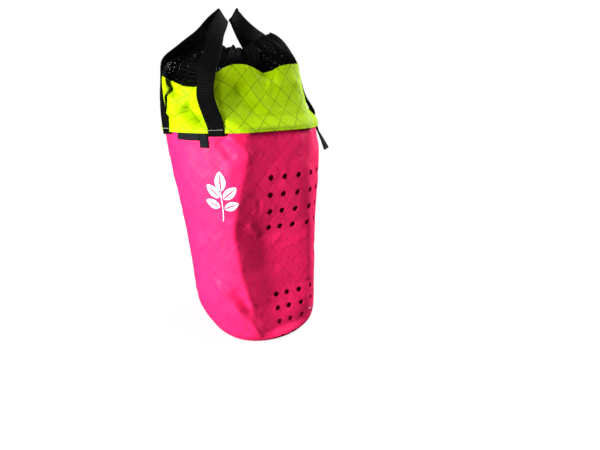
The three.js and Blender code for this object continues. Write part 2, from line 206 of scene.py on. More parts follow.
def choose(obj):
    """Makes obj the one selected and active object."""
    bpy.ops.object.select_all(action="DESELECT")
    obj.select_set(True)
    bpy.context.view_layer.objects.active = obj


def finish_with(obj, kind, **settings):
    """Adds a modifier with these settings and applies it."""
    choose(obj)
    modifier = obj.modifiers.new(kind.title(), kind)
    for name, value in settings.items():
        setattr(modifier, name, value)
    bpy.ops.object.modifier_apply(modifier=modifier.name)


def open_edit(obj):
    """Opens a piece in edit mode, with all of it selected."""
    choose(obj)
    bpy.ops.object.mode_set(mode="EDIT")
    bpy.ops.mesh.select_all(action="SELECT")


def close_edit():
    """Goes back to object mode."""
    bpy.ops.object.mode_set(mode="OBJECT")


def merge(obj, within=0.01 * MM):
    """Joins points that lie on each other, such as along a closed seam."""
    open_edit(obj)
    bpy.ops.mesh.remove_doubles(threshold=within)
    close_edit()


def smooth(obj, angle=40):
    """Shades a piece smooth, apart from edges sharper than an angle."""
    choose(obj)
    bpy.ops.object.shade_smooth_by_angle(angle=math.radians(angle))


def clouds(name, size):
    """Soft noise for a Displace modifier."""
    texture = bpy.data.textures.new(name, "CLOUDS")
    texture.noise_scale = size
    texture.noise_depth = 2
    texture.noise_type = "HARD_NOISE"
    return texture


def rumple(panel, layers, **limit):
    """Displaces a cloth by layers of noise."""
    for name, size, depth in layers:
        finish_with(panel, "DISPLACE", texture=clouds(name, size * MM), strength=depth * MM, **limit)


def mesh_object(name, points, faces, corner_uv=None):
    """A new mesh object at the origin. corner_uv has one pair for each face corner."""
    mesh = bpy.data.meshes.new(name)
    mesh.from_pydata(np.asarray(points).tolist(), [], faces)
    if corner_uv is not None:
        layer = mesh.uv_layers.new(name="UVMap")
        layer.data.foreach_set("uv", np.asarray(corner_uv, np.float32).ravel())
    obj = bpy.data.objects.new(name, mesh)
    bpy.context.scene.collection.objects.link(obj)
    return obj


def copies(name, pattern, places):
    """One mesh of copies of a pattern object's mesh, each at a 4x4 matrix. The pattern is removed."""
    points = np.array([v.co for v in pattern.data.vertices])
    faces = [list(p.vertices) for p in pattern.data.polygons]
    every = [points @ np.array(m)[:3, :3].T + np.array(m)[:3, 3] for m in places]
    numbered = [[i + k * len(points) for i in f] for k in range(len(every)) for f in faces]
    bpy.data.objects.remove(pattern)
    return mesh_object(name, np.concatenate(every), numbered)


def cloth_panel(name, columns, rows, flat):
    """A flat cut of cloth as a fine grid, and the share of each point across and up it.

    Its UV map holds the flat place of each point, in metres.
    """
    bpy.ops.object.select_all(action="DESELECT")
    bpy.ops.mesh.primitive_grid_add(x_subdivisions=columns, y_subdivisions=rows, size=1)
    panel = bpy.context.object
    panel.name = panel.data.name = name
    points = np.array([v.co for v in panel.data.vertices])
    layer = panel.data.uv_layers.active.data
    uv = np.zeros(2 * len(layer), np.float32)
    layer.foreach_get("uv", uv)
    layer.foreach_set("uv", (uv.reshape(-1, 2) * flat).astype(np.float32).ravel())
    return panel, points[:, 0] + 0.5, points[:, 1] + 0.5


def set_points(obj, points):
    """Moves every point of a mesh to its new place."""
    obj.data.vertices.foreach_set("co", np.asarray(points, np.float32).ravel())
    obj.data.update()


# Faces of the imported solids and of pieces, read with rays


def tree_of(obj):
    """A mesh that rays can be cast at."""
    mesh = obj.data
    return BVHTree.FromPolygons([v.co for v in mesh.vertices], [p.vertices for p in mesh.polygons])


def outward(angle):
    """The level direction out of the bag at an angle."""
    turn = math.radians(angle)
    return Vector((math.sin(turn), -math.cos(turn), 0))


def outwards(angles):
    """The level directions out of the bag at an array of angles."""
    turn = np.radians(angles)
    return np.stack([np.sin(turn), -np.cos(turn), np.zeros_like(turn)], -1)


def radius_at(tree, axis, angle, height):
    """How far the outer face lies from a vertical axis, or nan where no ray meets it."""
    way = outward(angle)
    start = Vector((axis.x, axis.y, height)) + REACH * way
    hit = tree.ray_cast(start, -way, REACH)
    return REACH - hit[3] if hit[0] else math.nan


def facing(point, normal):
    """A place at a point whose Z looks along a normal and whose X runs level."""
    side = Vector((0, 0, 1)).cross(normal).normalized()
    turn = Matrix((side, normal.cross(side), normal)).transposed()
    return Matrix.Translation(point) @ turn.to_4x4()


def on_skin(skin, axis, angle, height):
    """The point and the outward normal of a piece's outer face."""
    way = outward(angle)
    start = Vector((axis.x, axis.y, height)) + REACH * way
    point, normal, _, _ = skin.ray_cast(start, -way, REACH)
    return point, normal


def round_mean(values, spread):
    """Smooths rows of values round the bag, one value a degree, by a bell of this spread in degrees."""
    reach = int(3 * spread) + 1
    weights = np.exp(-0.5 * (np.arange(-reach, reach + 1) / spread) ** 2)
    total = sum(w * np.roll(values, k, 1) for w, k in zip(weights, range(-reach, reach + 1)))
    return total / weights.sum()


def round_median(values, reach):
    """The middle value of each place and its neighbours round the bag."""
    return np.nanmedian([np.roll(values, k, 1) for k in range(-reach, reach + 1)], axis=0)


def down_mean(values, times):
    """Smooths columns of values along the height."""
    for _ in range(times):
        padded = np.concatenate([2 * values[:1] - values[1:2], values, 2 * values[-1:] - values[-2:-1]])
        values = (padded[:-2] + 2 * padded[1:-1] + padded[2:]) / 4
    return values


def edge_round(angle, values, pick, spread):
    """The lowest or highest of the values near each degree, smoothed by a bell of this spread."""
    found = []
    for middle in EDGE_ANGLES:
        near = np.abs(np.mod(angle - middle + 180, 360) - 180) < EDGE_REACH
        found.append(pick(values[near]))
    return round_mean(np.interp(np.arange(360), EDGE_ANGLES, found, period=360)[None], spread)[0]


def read_round(values, angle):
    """Values at any angles, from one value a degree."""
    turn = np.mod(angle, 360)
    low = np.floor(turn).astype(int) % 360
    part = turn - np.floor(turn)
    return values[low] * (1 - part) + values[(low + 1) % 360] * part


def read_grid(values, rows, row_at, angle):
    """Values at any rows and angles, from a grid with one column a degree."""
    place = np.interp(row_at, rows, np.arange(len(rows)))
    low = np.clip(np.floor(place).astype(int), 0, len(rows) - 2)
    part = place - low
    turn = np.mod(angle, 360)
    left = np.floor(turn).astype(int) % 360
    right = (left + 1) % 360
    share = turn - np.floor(turn)
    upper = values[low + 1, left] * (1 - share) + values[low + 1, right] * share
    lower = values[low, left] * (1 - share) + values[low, right] * share
    return lower * (1 - part) + upper * part


def eased(share):
    """Goes smoothly from 0 to 1."""
    share = np.clip(share, 0, 1)
    return share * share * (3 - 2 * share)


def fold_depth(folds, angle, height, radius):
    """How far a table of folds presses a wall in, in metres.

    Each fold dies away beside its line and towards its ends.
    """
    depth = np.zeros_like(angle)
    across = np.radians(1) * radius
    for fold in folds:
        x, y = np.array(fold.line, float).T
        x, y = x * across, y * MM
        runs = np.hypot(np.diff(x), np.diff(y))
        nearest, place = np.full_like(angle, np.inf), np.zeros_like(angle)
        turn = np.mod(angle - fold.line[0][0] + 180, 360) - 180 + fold.line[0][0]
        for k, run in enumerate(runs):
            way = np.array([x[k + 1] - x[k], y[k + 1] - y[k]]) / run
            along = np.clip((turn * across - x[k]) * way[0] + (height - y[k]) * way[1], 0, run)
            away = np.hypot(turn * across - x[k] - along * way[0], height - y[k] - along * way[1])
            closer = away < nearest
            nearest = np.where(closer, away, nearest)
            place = np.where(closer, (runs[:k].sum() + along) / runs.sum(), place)
        fade = 0.25 + 0.75 * eased(np.minimum(place, 1 - place) / 0.16)
        depth += fold.depth * MM * fade * np.exp(-((nearest / (fold.width * MM)) ** 2))
    return depth


def creases(count, low, high, seed):
    """Small creases strewn over a wall between two heights in millimetres, as packed cloth keeps them."""
    dice = np.random.default_rng(seed)
    rows = []
    for _ in range(count):
        angle, height = dice.uniform(-180, 180), dice.uniform(low, high)
        slope, length = dice.uniform(-70, 70), dice.uniform(14, 46)
        bend = dice.uniform(-0.25, 0.25) * length
        line = []
        for share in (-0.5, 0, 0.5):
            x, y = share * length, bend * (0.25 - share * share) * 4
            turn = math.radians(slope)
            across = math.degrees((x * math.cos(turn) - y * math.sin(turn)) * MM / WALL_RADIUS)
            line.append((angle + across, height + x * math.sin(turn) + y * math.cos(turn)))
        rows.append(Fold(dice.uniform(3.5, 5.5), dice.choice([-1, 1]) * dice.uniform(0.3, 0.8), line))
    return rows


def softest(a, b, blend, sign):
    """The lower of two faces where sign is -1 and the higher where it is 1, rounded where they meet."""
    high, low = np.maximum(sign * a, sign * b), np.minimum(sign * a, sign * b)
    return sign * (high + blend * np.log1p(np.exp((low - high) / blend)))


def plan_line(angle, from_angle, from_radius, to_angle, to_radius):
    """The radius of a straight line in plan through two places."""
    a, b = np.radians(from_angle), np.radians(to_angle)
    ax, ay = from_radius * np.sin(a), -from_radius * np.cos(a)
    bx, by = to_radius * np.sin(b), -to_radius * np.cos(b)
    turn = np.radians(angle)
    reach = np.maximum((by - ay) * np.sin(turn) + (bx - ax) * np.cos(turn), 1e-6)
    return (ax * (by - ay) - ay * (bx - ax)) / reach


def slack_radius(angle, height):
    """The tube's radius in its slack part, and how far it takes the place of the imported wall's."""
    rows = np.array(TUBE_SLACK, float)
    at = [np.interp(height, rows[:, 0] * MM, rows[:, k]) for k in range(1, 7)]
    left, left_radius, valley, valley_radius, right, right_radius = at
    flank = plan_line(angle, left, left_radius * MM, valley, valley_radius * MM)
    flat = plan_line(angle, valley, valley_radius * MM, right, right_radius * MM)
    whole = right_radius * MM
    near_side = softest(flank, whole, 1.3 * MM, -1)
    far_side = softest(flat, whole, 3.5 * MM, -1)
    radius = softest(near_side, far_side, 1.8 * MM, 1)
    # The slack begins a few degrees outside of the two ridges, and above the foot
    share = eased((angle - left + 14) / 10) * eased((right + 16 - angle) / 12)
    share *= eased((height - 8 * MM) / (14 * MM))
    return radius, share


def collar_pressed(angle, rise, radius):
    """The collar's radius where it is slack beside the front handle."""
    rows = np.array(COLLAR_SLACK, float)
    ridge, valley, depth, end = (np.interp(rise, rows[:, 0] * MM, rows[:, k]) for k in range(1, 5))
    flank = plan_line(angle, ridge, radius, valley, radius - depth * MM)
    flat = plan_line(angle, valley, radius - depth * MM, end, radius)
    near_side = softest(flank, radius, 1.2 * MM, -1)
    far_side = softest(flat, radius, 2.5 * MM, -1)
    slack = softest(near_side, far_side, 2.0 * MM, 1)
    share = eased((angle - ridge + 10) / 8) * eased((end + 14 - angle) / 12)
    return radius + share * (slack - radius)


# Materials


def nodes_of(name):
    """A new node material, with its tree and its shader."""
    material = bpy.data.materials.new(name)
    material.use_nodes = True
    return material, material.node_tree, material.node_tree.nodes["Principled BSDF"]


def fill(tree, node, inputs):
    """Links results into a node's inputs, by name or number, and sets plain values on them."""
    for name, value in inputs.items():
        if isinstance(value, bpy.types.NodeSocket):
            tree.links.new(value, node.inputs[name])
        else:
            node.inputs[name].default_value = value


def add(tree, kind, inputs=None, **settings):
    """A node with its settings and inputs."""
    node = tree.nodes.new("ShaderNode" + kind)
    for name, value in settings.items():
        setattr(node, name, value)
    fill(tree, node, inputs or {})
    return node


def maths(tree, operation, a, b=0.0, c=0.0):
    """The result of a Math node."""
    return add(tree, "Math", {0: a, 1: b, 2: c}, operation=operation).outputs[0]


def blended(tree, share, a, b):
    """A mix of two colours by a share."""
    a, b = (c if isinstance(c, bpy.types.NodeSocket) else (*c, 1) for c in (a, b))
    return add(tree, "Mix", {0: share, 6: a, 7: b}, data_type="RGBA").outputs[2]


def ramp(tree, value, low, high):
    """Goes smoothly from 0 at low to 1 at high."""
    node = add(tree, "MapRange", {0: value, 1: low, 2: high}, interpolation_type="SMOOTHSTEP")
    return node.outputs[0]


def noise(tree, place, scale, detail, **more):
    """Soft noise over a piece."""
    return add(tree, "TexNoise", {"Vector": place, "Scale": scale, "Detail": detail, **more}).outputs[0]


def bands(tree, place, scale, direction, **more):
    """Soft even bands, as of yarns side by side."""
    inputs = {"Vector": place, "Scale": scale, **more}
    return add(tree, "TexWave", inputs, bands_direction=direction).outputs[1]


def bumped(tree, height, distance, before=None):
    """A normal raised by a height, over an earlier bump if there is one."""
    inputs = {"Strength": 1.0, "Distance": distance, "Height": height}
    if before:
        inputs["Normal"] = before
    return add(tree, "Bump", inputs).outputs[0]


def sailcloth(name, colour, yarn, shade, yarn_share, shine):
    """Laminated cloth: a satin face, a diagonal grid of dark yarns, a fine plain weave and soft creases."""
    material, tree, shader = nodes_of(name)
    flat = add(tree, "UVMap").outputs[0]
    place = add(tree, "SeparateXYZ", {0: flat}).outputs
    lines = []
    for operation in ("ADD", "SUBTRACT"):
        along = maths(tree, operation, place[0], place[1])
        count = maths(tree, "MULTIPLY", along, 1 / (math.sqrt(2) * GRID_PITCH))
        near = maths(tree, "PINGPONG", count, 0.5)
        lines.append(ramp(tree, near, GRID_YARN / GRID_PITCH, 0.25 * GRID_YARN / GRID_PITCH))
    grid = maths(tree, "MAXIMUM", *lines)
    mottle = noise(tree, flat, 34.0, 4.0, Roughness=0.6)
    grain = noise(tree, flat, 900.0, 2.0)
    tone = blended(tree, ramp(tree, mottle, 0.35, 0.72), shade, colour)
    tone = blended(tree, maths(tree, "MULTIPLY", grid, yarn_share), tone, yarn)
    rough = maths(tree, "MULTIPLY_ADD", grain, 0.16, 0.42)
    weave = maths(tree, "MULTIPLY", bands(tree, flat, 420.0, "X"), bands(tree, flat, 420.0, "Y"))
    crease = add(tree, "TexVoronoi", {"Vector": flat, "Scale": 42.0}, feature="DISTANCE_TO_EDGE").outputs[0]
    crease = ramp(tree, crease, 0.0, 0.16)
    normal = bumped(tree, mottle, 0.35 * MM)
    normal = bumped(tree, crease, 0.09 * MM, normal)
    normal = bumped(tree, grid, 0.12 * MM, normal)
    normal = bumped(tree, weave, 0.035 * MM, normal)
    looks = {"Base Color": tone, "Roughness": rough, "Normal": normal, "Specular IOR Level": shine}
    fill(tree, shader, looks)
    return material


def webbing_cloth(name, colour, light):
    """Black ribbed webbing: slanting yarns over the modelled ribs, painted paler where they stand up as a
    highlight.
    """
    material, tree, shader = nodes_of(name)
    flat = add(tree, "UVMap").outputs[0]
    place = add(tree, "SeparateXYZ", {0: flat}).outputs
    turned = add(tree, "Mapping", {"Vector": flat, "Rotation": (0, 0, math.radians(28))}).outputs[0]
    yarns = bands(tree, turned, 330.0, "X", Distortion=0.6)
    rib = maths(tree, "SINE", maths(tree, "MULTIPLY", place[1], 2 * math.pi / WEBBING_RIB))
    fuzz = noise(tree, flat, 700.0, 3.0)
    # Painted highlight: the colour turns paler on the crests of the ribs, broken up by the fuzz
    painted_rib_highlight = maths(tree, "MULTIPLY", ramp(tree, rib, -0.6, 1.0), ramp(tree, fuzz, 0.3, 0.75))
    looks = {
        "Base Color": blended(tree, painted_rib_highlight, colour, light),
        "Roughness": maths(tree, "MULTIPLY_ADD", fuzz, 0.25, 0.5),
        "Normal": bumped(tree, fuzz, 0.06 * MM, bumped(tree, yarns, 0.1 * MM)),
        "Specular IOR Level": BLACK_SHINE,
    }
    fill(tree, shader, looks)
    return material


def net_yarn(name, colour, light):
    """Black knitted yarn with a faint plastic shine."""
    material, tree, shader = nodes_of(name)
    fuzz = noise(tree, add(tree, "TexCoord").outputs["Object"], 1400.0, 2.0)
    looks = {
        "Base Color": blended(tree, ramp(tree, fuzz, 0.4, 0.8), colour, light),
        "Roughness": maths(tree, "MULTIPLY_ADD", fuzz, 0.3, 0.35),
        "Normal": bumped(tree, fuzz, 0.08 * MM),
        "Specular IOR Level": BLACK_SHINE,
    }
    fill(tree, shader, looks)
    return material


def label_tape(name, colour, light):
    """Dense woven tape for the small labels."""
    material, tree, shader = nodes_of(name)
    flat = add(tree, "UVMap").outputs[0]
    weave = maths(tree, "MULTIPLY", bands(tree, flat, 620.0, "X"), bands(tree, flat, 460.0, "Y"))
    looks = {
        "Base Color": blended(tree, weave, colour, light),
        "Roughness": maths(tree, "MULTIPLY_ADD", weave, -0.2, 0.75),
        "Normal": bumped(tree, weave, 0.08 * MM),
        "Specular IOR Level": BLACK_SHINE,
    }
    fill(tree, shader, looks)
    return material


def sewing_thread(name, colour, light):
    """Twisted thread."""
    material, tree, shader = nodes_of(name)
    twist = bands(tree, add(tree, "TexCoord").outputs["Object"], 700.0, "DIAGONAL")
    tone = blended(tree, twist, colour, light)
    fill(tree, shader, {"Base Color": tone, "Roughness": 0.55, "Normal": bumped(tree, twist, 0.05 * MM)})
    return material


def print_ink(name, colour, worn):
    """White screen print with the cloth's grain showing through."""
    material, tree, shader = nodes_of(name)
    grain = noise(tree, add(tree, "TexCoord").outputs["Object"], 500.0, 5.0)
    looks = {
        "Base Color": blended(tree, ramp(tree, grain, 0.3, 0.5), worn, colour),
        "Roughness": maths(tree, "MULTIPLY_ADD", grain, 0.2, 0.4),
        "Normal": bumped(tree, grain, 0.05 * MM),
    }
    fill(tree, shader, looks)
    return material


PINK = sailcloth(
    "pink_sailcloth",
    colour=(0.88, 0.017, 0.122),
    yarn=(0.3, 0.0, 0.03),
    shade=(0.8, 0.013, 0.107),
    yarn_share=0.3,
    shine=0.1,
)
YELLOW_GREEN = sailcloth(
    "yellow_green_sailcloth",
    colour=(0.325, 0.51, 0.0),
    yarn=(0.088, 0.139, 0.0),
    shade=(0.297, 0.465, 0.0),
    yarn_share=0.65,
    shine=0.04,
)
# The webbing's second colour is the painted highlight on the crests of its ribs
WEBBING = webbing_cloth("black_webbing", (0.0005, 0.0005, 0.0005), (0.0055, 0.006, 0.0055))
NET_YARN = net_yarn("black_net_yarn", (0.0004, 0.0004, 0.0004), (0.0025, 0.0025, 0.003))
LABEL_TAPE = label_tape("charcoal_label_tape", (0.004, 0.0045, 0.0055), (0.016, 0.018, 0.021))
PALE_THREAD = sewing_thread("pale_thread", (0.42, 0.40, 0.30), (0.72, 0.70, 0.58))
GREEN_THREAD = sewing_thread("yellow_green_thread", (0.30, 0.50, 0.0), (0.42, 0.66, 0.02))
WHITE_INK = print_ink("white_print", (0.86, 0.88, 0.90), (0.62, 0.40, 0.48))


def dress(obj, material, slot, *replaced):
    """Gives a finished piece its material, and its place in the frame."""
    obj.data.materials.clear()
    obj.data.materials.append(material)
    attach(obj, "root")
    if replaced:
        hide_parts(*replaced)


# Tube


def tube_skin():
    """The tube's outer face from the base to under the collar.

    Gives the heights of its rows, a radius for each degree, and how far along the cloth each row lies.
    """
    tree = tree_of(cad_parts["tube"])
    low, high = (corner.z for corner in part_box("tube"))
    foot = np.arange(low + 0.2 * MM, low + 12 * MM, 0.4 * MM)
    wall = np.arange(low + 12 * MM, high - 0.5 * MM, 3 * MM)
    heights = np.concatenate([foot, wall, [high - 0.3 * MM]])
    radii = np.array([[radius_at(tree, BASE_MIDDLE, a, h) for a in range(360)] for h in heights])
    # A ray that misses or goes in at a drain hole takes the radius usual beside it
    usual = round_median(radii, 6)
    in_hole = ~(usual - radii < 1.0 * MM)
    radii = round_mean(np.where(in_hole, usual, radii), 2.0)
    radii = np.concatenate([radii[: len(foot)], down_mean(radii[len(foot) :], 2)])
    mean = radii.mean(1)
    cloth = np.concatenate([[0], np.cumsum(np.hypot(np.diff(mean), np.diff(heights)))])
    return heights, radii, cloth


def drain_drills(skin):
    """One mesh of short rods, each where a drain hole is cut."""
    places = []
    for field in DRAIN_FIELDS:
        turn = math.degrees(DRAIN_PITCH / field.radius)
        for row in range(field.rows):
            for column in range(field.columns):
                angle = field.angle + column * turn
                point, _ = on_skin(skin, BASE_MIDDLE, angle, field.height - row * field.drop)
                places.append(facing(point, outward(angle)))
    bpy.ops.object.select_all(action="DESELECT")
    bpy.ops.mesh.primitive_cylinder_add(vertices=20, radius=DRAIN_RADIUS, depth=14 * MM)
    return copies("drain_drills", bpy.context.object, places)


def make_tube():
    """The tube's cloth with its folds and drain holes. Gives its skin before the holes are cut."""
    heights, radii, cloth = tube_skin()
    panel, u, v = cloth_panel("sailcloth_tube", *TUBE_GRID, TUBE_FLAT)
    angle = 360 * u + 180
    height = np.interp(v * cloth[-1], cloth, heights)
    radius = read_grid(radii, heights, height, angle)
    axis = np.clip((height - LEAN_FROM) / LEAN_RUN, 0, 1)[:, None] ** 2 * np.array(SEAM)[:2]
    points = radius[:, None] * outwards(angle)
    own = points[:, :2] - axis
    own_angle = np.degrees(np.arctan2(own[:, 0], -own[:, 1]))
    own_radius = np.hypot(own[:, 0], own[:, 1])
    slack, share = slack_radius(own_angle, height)
    own_radius += share * (slack - own_radius)
    folds = TUBE_FOLDS + creases(count=120, low=20, high=300, seed=5)
    own_radius -= fold_depth(folds, own_angle, height, TUBE_RADIUS)
    # From the leaning axis back to the bag's own
    points = own_radius[:, None] * outwards(own_angle)
    points[:, :2] += axis
    points[:, 2] = height
    # The lowest row turns in over the base
    lap = v == 0
    points[lap] -= FOOT_LAP * outwards(own_angle[lap])
    points[lap, 2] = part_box("base")[1].z + 0.3 * MM
    set_points(panel, points)
    merge(panel)
    wall = panel.vertex_groups.new(name="wall")
    for vertex in panel.data.vertices:
        wall.add([vertex.index], float(eased((vertex.co.z - 4 * MM) / (20 * MM))), "REPLACE")
    rumple(panel, TUBE_NOISE, vertex_group="wall")
    finish_with(panel, "SOLIDIFY", thickness=TUBE_CLOTH, offset=-1)
    skin = tree_of(panel)
    finish_with(panel, "BOOLEAN", operation="DIFFERENCE", solver="MANIFOLD", object=drain_drills(skin))
    bpy.data.objects.remove(bpy.data.objects["drain_drills"])
    smooth(panel)
    dress(panel, PINK, "tube_cloth", "tube")
    return skin


# Collar


def edge_heights(node, axis):
    """The height of a wall's upper edge, one value a degree."""
    points = np.array([v.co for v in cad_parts[node].data.vertices])
    angle = np.degrees(np.arctan2(points[:, 0] - axis.x, axis.y - points[:, 1]))
    return edge_round(angle, points[:, 2], np.max, 2.5)


def collar_skin():
    """The collar's outer face from the seam to its wavy edge.

    Gives the seam's height, the edge's heights, the rows' shares of the way up and a radius for each degree.
    """
    tree = tree_of(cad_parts["collar"])
    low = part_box("collar")[0].z
    top = edge_heights("collar", SEAM)
    rises = np.concatenate([[0.01], np.linspace(0.04, 0.94, 28)])
    heights = low + rises[:, None] * (top - low)
    radii = np.array([[radius_at(tree, SEAM, a, row[a]) for a in range(360)] for row in heights])
    usual = round_median(radii, 4)
    radii = round_mean(np.where(np.abs(usual - radii) < 2 * MM, radii, usual), 2.0)
    radii = down_mean(radii, 2)
    radii = np.concatenate([radii, radii[-1:] + 0.6 * (radii[-1:] - radii[-3:-2])])
    return low, top, np.append(rises, 1.0), radii


def puckers(angle):
    """Small outward gathers along a line of stitches, in metres."""
    turn = np.radians(angle)
    waves = np.sin(71 * turn + 2.2 * np.sin(5 * turn)) + 0.6 * np.sin(113 * turn + 1.7 * np.sin(7 * turn + 1))
    return 0.45 * MM * (1.0 + waves / 1.6)


def make_collar():
    """The collar's cloth with its folds and gathers. Gives its skin."""
    low, top, rises, radii = collar_skin()
    panel, u, v = cloth_panel("sailcloth_collar", *COLLAR_GRID, COLLAR_FLAT)
    angle = 360 * u + 180
    edge = read_round(top, angle)
    rise = v * (edge - low)
    radius = read_grid(radii, rises, v, angle)
    turn = np.mod(angle + 180, 360) - 180
    radius = collar_pressed(turn, rise, radius)
    radius += COLLAR_LAP * np.clip(1 - rise / (16 * MM), 0, 1) ** 2
    folds = COLLAR_FOLDS + creases(count=36, low=16, high=66, seed=8)
    radius -= fold_depth(folds, angle, rise, SEAM_RADIUS)
    radius += puckers(angle) * np.exp(-((rise / (9 * MM)) ** 2))
    radius += 0.7 * puckers(angle + 120) * np.exp(-(((edge - low - rise) / (8 * MM)) ** 2))
    points = radius[:, None] * outwards(angle)
    points[:, 2] = low + rise
    points[:, :2] += SEAM[:2]
    set_points(panel, points)
    merge(panel)
    rumple(panel, COLLAR_NOISE)
    finish_with(panel, "SOLIDIFY", thickness=COLLAR_CLOTH, offset=-1)
    skin = tree_of(panel)
    smooth(panel)
    dress(panel, YELLOW_GREEN, "collar_cloth", "collar")
    return skin


# Net throat


def tucked_in(place, turn, collar_face):
    """Lays the net's lower rows along the collar's inner face, and moves the rows above by less and less."""
    edge = read_round(edge_heights("collar", SEAM), turn[0]) - 1.5 * MM
    shift = place[..., :2] - np.array(SEAM)[:2]
    reach = np.hypot(shift[..., 0], shift[..., 1])
    for column in range(place.shape[1]):
        excess, top = 0.0, 0.0
        for row in range(place.shape[0]):
            angle = math.degrees(math.atan2(shift[row, column, 0], -shift[row, column, 1]))
            height = place[row, column, 2]
            if height < edge[column]:
                limit = radius_at(collar_face, SEAM, angle, height) - COLLAR_CLOTH - 1.6 * MM
                if not math.isnan(limit):
                    excess, top = max(-8 * MM, reach[row, column] - limit), height
            cut = excess * math.exp(-((max(height - top, 0) / (16 * MM)) ** 2))
            place[row, column, :2] -= shift[row, column] / reach[row, column] * cut
    return place


def net_wall():
    """The net's wall as seen from its middle.

    Gives the lifts of its lower edge and its rim in degrees, shares of the way between them, and how
    far off the wall is at each share and degree.
    """
    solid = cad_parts["net_throat"]
    tree = tree_of(solid)
    points = np.array([v.co for v in solid.data.vertices]) - np.array(NET_MIDDLE)
    angle = np.degrees(np.arctan2(points[:, 0], -points[:, 1]))
    lift = np.degrees(np.arctan2(points[:, 2], np.hypot(points[:, 0], points[:, 1])))
    low = edge_round(angle, lift, np.min, 2) + 1
    high = edge_round(angle, lift, np.max, 2) - 1.5
    shares = np.linspace(0, 1, 22)
    spans = np.zeros((len(shares), 360))
    for i, share in enumerate(shares):
        for a in range(360):
            e = math.radians(low[a] + share * (high[a] - low[a]))
            way = outward(a) * math.cos(e) + Vector((0, 0, math.sin(e)))
            hit = tree.ray_cast(NET_MIDDLE, way, REACH)
            spans[i, a] = hit[3] if hit[0] else math.nan
    for _ in range(3):
        spans = np.where(np.isnan(spans), round_median(spans, 4), spans)
    return low, high, shares, down_mean(round_mean(spans, 1.5), 1)


def net_points(columns):
    """The places of the knit's points in rows up the net, and their angles."""
    low, high, shares, spans = net_wall()
    i, j = np.meshgrid(np.arange(columns), np.arange(NET_ROWS + 1))
    turn = 360 * (i / columns)
    # Every other point is raised and the rest lowered, which makes the cells six-sided
    zigzag = np.where((i + j) % 2, -1, 1) * 0.16
    v = np.clip((j + zigzag) / NET_ROWS, 0, 1)
    share = np.minimum(v / NET_HEM, 1)
    e = np.radians(read_round(low, turn) * (1 - share) + read_round(high, turn) * share)
    span = read_grid(spans, shares, share, turn)
    beside = np.mod(turn - NET_BULGE_ANGLE + 180, 360) - 180
    bulge = NET_BULGE * np.exp(-((beside / NET_BULGE_SPREAD) ** 2))
    bulge = bulge * np.clip((share - 0.06) / 0.18, 0, 1) * (1 - share)
    span = span + bulge - 2.5 * MM * np.clip(1 - share / 0.2, 0, 1)
    ruffle = share**2 * (np.sin(np.radians(turn) * 39) + 0.7 * np.sin(np.radians(turn) * 61 + 1))
    span = span + NET_RUFFLE * ruffle
    way = outwards(turn) * np.cos(e)[..., None]
    way[..., 2] = np.sin(e)
    place = np.array(NET_MIDDLE) + span[..., None] * way
    turned_in = np.clip((v - NET_HEM) / (1 - NET_HEM), 0, 1)[..., None]
    place += turned_in * (-2.2 * MM * outwards(turn) + np.array([0, 0, -5 * MM]))
    return place, turn


def make_net(collar_face):
    """A knitted net: six-sided cells laid from inside the collar's edge up to the gathered mouth."""
    columns = 2 * NET_CELLS
    place = tucked_in(*net_points(columns), collar_face)
    faces = []
    for row in range(NET_ROWS):
        for k in range(NET_CELLS):
            a = 2 * k + row % 2
            line = [row * columns + (a + n) % columns for n in range(3)]
            faces.append(line + [n + columns for n in reversed(line)])
    net = mesh_object("net_throat_knit", place.reshape(-1, 3), faces)
    finish_with(net, "WIREFRAME", thickness=NET_CORD, use_even_offset=False, use_boundary=True)
    smooth(net, 60)
    dress(net, NET_YARN, "net", "net_throat")


# Webbing


def strap_rings(node, first):
    """Centres and width directions of a strap's cross-sections, from the end that first puts foremost."""
    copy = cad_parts[node].data.copy()
    work = bpy.data.objects.new("strap_work", copy)
    bpy.context.scene.collection.objects.link(work)
    merge(work)
    points = np.array([v.co for v in copy.vertices])
    beside = [set() for _ in points]
    for a, b in (tuple(e.vertices) for e in copy.edges):
        beside[a].add(b)
        beside[b].add(a)
    bpy.data.objects.remove(work)
    ring = set(sorted(range(len(points)), key=lambda k: first(points[k]))[:4])
    seen, rings = set(), []
    while ring:
        rings.append(points[sorted(ring)])
        seen |= ring
        ring = set().union(*(beside[k] for k in ring)) - seen
    centres = np.array([r.mean(0) for r in rings])
    wides = [np.linalg.svd(r - r.mean(0))[2][0] for r in rings]
    for k in range(1, len(wides)):
        if wides[k] @ wides[k - 1] < 0:
            wides[k] = -wides[k]
    return centres, np.array(wides)


def curve_through(rows, places):
    """A smooth curve through rows of numbers, read at fractional row places."""
    low = np.clip(np.floor(places).astype(int), 0, len(rows) - 2)
    t = (places - low)[:, None]
    slope = np.gradient(rows, axis=0)
    a, b = rows[low], rows[low + 1]
    t2, t3 = t * t, t * t * t
    return (
        a * (2 * t3 - 3 * t2 + 1)
        + b * (3 * t2 - 2 * t3)
        + slope[low] * (t3 - 2 * t2 + t)
        + slope[low + 1] * (t3 - t2)
    )


def strap_path(node, first, step):
    """Evenly spaced centres, width and face directions along a strap, and the step between them."""
    centres, wides = strap_rings(node, first)
    fine = np.linspace(0, len(centres) - 1, 40 * len(centres))
    line = curve_through(centres, fine)
    run = np.concatenate([[0], np.cumsum(np.linalg.norm(np.diff(line, axis=0), axis=1))])
    count = int(run[-1] / step)
    places = np.interp(np.linspace(0, run[-1], count + 1), run, fine)
    line = curve_through(centres, places)
    wide = curve_through(wides, places)
    along = np.gradient(line, axis=0)
    along /= np.linalg.norm(along, axis=1)[:, None]
    wide -= (wide * along).sum(1)[:, None] * along
    wide /= np.linalg.norm(wide, axis=1)[:, None]
    return line, wide, np.cross(along, wide), run[-1] / count


def right_foot(point):
    """Puts a handle's right foot foremost."""
    return point[2] - 10 * (point[0] > SEAM.x)


def upper_end(point):
    """Puts the upper end of the tab foremost."""
    return -point[2]


